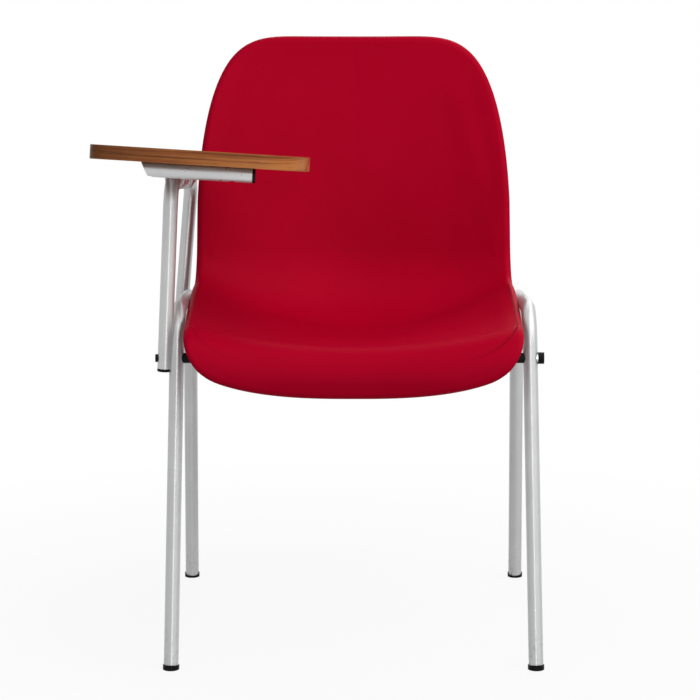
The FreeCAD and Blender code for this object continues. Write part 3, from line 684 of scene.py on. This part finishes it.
def wood(name, light, mid, scale, across=1.0):
    """Wood-look laminate with its grain along GRAIN, and along the side axis too where across is small,
    painted darker towards the tablet's outer end as painted shade.
    """
    p = Paint(name, Specular_IOR_Level=0.10)
    along = Vector(GRAIN).normalized()
    side = along.cross(Vector((0, 0, 1))).normalized()
    parts = []
    for axis in (along, side, side.cross(along)):
        dot = p.node("ShaderNodeVectorMath", {"operation": "DOT_PRODUCT"})
        p.put(dot, "0", p.object)
        p.put(dot, "1", axis)
        parts.append(dot.outputs["Value"])
    stretched = p.math("MULTIPLY", parts[0], GRAIN_STRETCH)
    sideways = p.math("MULTIPLY", parts[1], across)
    vector = p.node("ShaderNodeCombineXYZ", X=stretched, Y=sideways, Z=parts[2]).outputs[0]
    figure = p.noise(scale, 4, 0.55, vector, distortion=0.4)
    streak = p.noise(scale * 3.4, 3, 0.5, vector)
    fine = p.noise(scale * 9, 4, 0.6, vector)
    pores = p.noise(scale * 26, 2, 0.5, vector)
    tone = p.ramp(figure, (0.28, WOOD_DARK), (0.46, mid), (0.66, light))
    tone = p.mix(p.range(streak, 0.0, 0.85, 0.52, 0.64), tone, light)
    tone = p.mix(p.range(streak, 0.80, 0.0, 0.34, 0.46), tone, WOOD_DARK)
    tone = p.mix(p.range(fine, 0.0, 0.35, 0.45, 0.78), tone, WOOD_DARK)
    tone = p.mix(p.range(pores, 0.0, 0.5, 0.60, 0.72), tone, tuple(c * PORE_SHARE for c in WOOD_DARK))
    # Painted shade: the tone is multiplied darker towards the tablet's outer end, standing in for light
    # and shade along the board.
    shade = p.ramp(p.range(parts[0], 0.0, 1.0, *WOOD_SPAN), *WOOD_PAINTED_SHADE)
    tone = p.mix(1.0, tone, shade, "MULTIPLY")
    return p.finish(tone, p.range(fine, 0.30, 0.46, 0.3, 0.7), p.bump(pores, 0.10, 0.0002))


# One look for each material slot. The arm and the tablet's bars have the legs' silver paint with a
# brighter base colour, which is painted light, and a lower roughness.
looks = {
    "red_cover": leatherette(),
    "frame_paint": silver("silver_paint", 0.56, 0.36, 0.42),
    "black_plastic": plastic("black_plastic", (0.004, 0.004, 0.0045), (0.008, 0.008, 0.0085), 0.42),
    "zinc_steel": steel("zinc_steel", (0.52, 0.52, 0.50), (0.66, 0.66, 0.63), 0.30),
    "black_steel": steel("black_steel", (0.012, 0.012, 0.0125), (0.022, 0.022, 0.023), 0.36),
    "bush_nylon": plastic("bush_nylon", (0.70, 0.68, 0.62), (0.78, 0.77, 0.71), 0.40),
    "shell_plastic": plastic("shell_plastic", (0.030, 0.030, 0.031), (0.045, 0.045, 0.046), 0.5),
    "tablet_wood": wood("tablet_laminate", (0.62, 0.230, 0.068), (0.43, 0.128, 0.037), 56.0),
    "tablet_band": wood("tablet_band", (0.64, 0.240, 0.070), (0.44, 0.131, 0.038), 76.0, GRAIN_STRETCH),
}
# Painted light: these brighter copies of the silver paint stand in for the light and the white floor
# reflected by the bars and the arm.
silver_bar_painted_light = silver("silver_bar_painted_light", 0.66, 0.26, 0.32)
node_looks = {
    "tablet_arm": silver("silver_arm_painted_light", 0.60, 0.34, 0.40),
    "tablet_bar_front": silver_bar_painted_light,
    "tablet_bar_rear": silver_bar_painted_light,
}
for row in frame["record"]["subparts"]:
    node = frame["nodes"][row["node"]]
    node.data.materials.clear()
    node.data.materials.append(node_looks.get(row["node"], looks[row["material_slot"]]))
for piece in (seat, back):
    piece.data.materials.append(looks["red_cover"])

# ---------------------------------------------------------------- floor, light and camera
# Lengths here are in metres. The floor's colour as the camera sees it, and as it lights the object
FLOOR_REACH = 14.0
FLOOR_DEEP, FLOOR_PALE = (0.60, 0.60, 0.60), (0.63, 0.63, 0.63)
FLOOR_BOUNCE = (0.32, 0.32, 0.32)
# Share of white in what the camera sees, near the object and far from it
FLOOR_WHITE = (0.90, 1.0)
FLOOR_FADE = (0.35, 1.1)
WHITE = (1, 1, 1, 1)
SKY, SKY_STRENGTH = (0.95, 0.97, 1.0, 1), 0.34
LIGHT_AIM = (0, 0, 0.5)
# Name, place, size and power in watts
LIGHTS = (
    ("key", (1.6, -1.2, 2.9), (4.0, 4.0), 98),
    ("strip", (0.3, -3.4, 0.9), (0.22, 1.8), 15),
    ("rear", (0.6, 2.3, 2.4), (2.0, 1.2), 22),
)
CAMERA_AT = (0, -3.6, 1.074)
# Degrees below level
CAMERA_DROP = 10.6
CAMERA_LENS, CAMERA_SENSOR = 131.6, 36.0
CAMERA_SHIFT = -0.0051


def seeing(tree):
    """The Light Path node, and 1 for the rays that show the white background."""
    path = tree.nodes.new("ShaderNodeLightPath")
    seen = path.outputs["Is Camera Ray"]
    for kind in ("Is Glossy Ray", "Is Transmission Ray"):
        either = tree.nodes.new("ShaderNodeMath")
        either.operation = "MAXIMUM"
        tree.links.new(seen, either.inputs[0])
        tree.links.new(path.outputs[kind], either.inputs[1])
        seen = either.outputs[0]
    return path, seen


def floor_material():
    p = Paint("white_floor", Roughness=0.6)
    path, seen = seeing(p.tree)
    tone = p.ramp(p.noise(3, 2), (0.3, FLOOR_DEEP), (0.7, FLOOR_PALE))
    p.finish(p.mix(path.outputs["Is Camera Ray"], FLOOR_BOUNCE, tone))
    glow = p.node("ShaderNodeEmission", Color=WHITE, Strength=1.0)
    far = p.node("ShaderNodeVectorMath", {"operation": "LENGTH"})
    p.put(far, "0", p.object)
    both = p.node("ShaderNodeMixShader")
    p.put(both, "0", p.math("MULTIPLY", seen, p.range(far.outputs["Value"], *FLOOR_WHITE, *FLOOR_FADE)))
    p.put(both, "1", p.shader.outputs[0])
    p.put(both, "2", glow.outputs[0])
    p.put(p.out, "0", both.outputs[0])
    return p.material


def studio_world():
    world = bpy.data.worlds.new("studio")
    world.use_nodes = True
    tree = world.node_tree
    tree.nodes.clear()
    both = tree.nodes.new("ShaderNodeMixShader")
    tree.links.new(seeing(tree)[1], both.inputs[0])
    for slot, (colour, strength) in enumerate(((SKY, SKY_STRENGTH), (WHITE, 1.0)), 1):
        background = tree.nodes.new("ShaderNodeBackground")
        background.inputs["Color"].default_value = colour
        background.inputs["Strength"].default_value = strength
        tree.links.new(background.outputs[0], both.inputs[slot])
    out = tree.nodes.new("ShaderNodeOutputWorld")
    tree.links.new(both.outputs[0], out.inputs[0])
    return world


corners = [(-FLOOR_REACH, -FLOOR_REACH, 0), (FLOOR_REACH, -FLOOR_REACH, 0),
           (FLOOR_REACH, FLOOR_REACH, 0), (-FLOOR_REACH, FLOOR_REACH, 0)]
floor = mesh_object("studio_floor", corners, [(0, 1, 2, 3)], False)
floor.data.materials.append(floor_material())
scene.world = studio_world()

for name, at, size, power in LIGHTS:
    lamp = bpy.data.lights.new(name, "AREA")
    lamp.shape = "RECTANGLE"
    lamp.size, lamp.size_y = size
    lamp.energy = power
    light = bpy.data.objects.new(name, lamp)
    light.location = at
    light.rotation_euler = (Vector(LIGHT_AIM) - Vector(at)).to_track_quat("-Z", "Y").to_euler()
    scene.collection.objects.link(light)

camera = bpy.data.cameras.new("camera")
camera.lens = CAMERA_LENS
camera.sensor_width = CAMERA_SENSOR
camera.shift_x = CAMERA_SHIFT
eye = bpy.data.objects.new("camera", camera)
eye.location = CAMERA_AT
eye.rotation_euler = (math.radians(90 - CAMERA_DROP), 0, 0)
scene.collection.objects.link(eye)
scene.camera = eye
scene.view_settings.view_transform = "Standard"
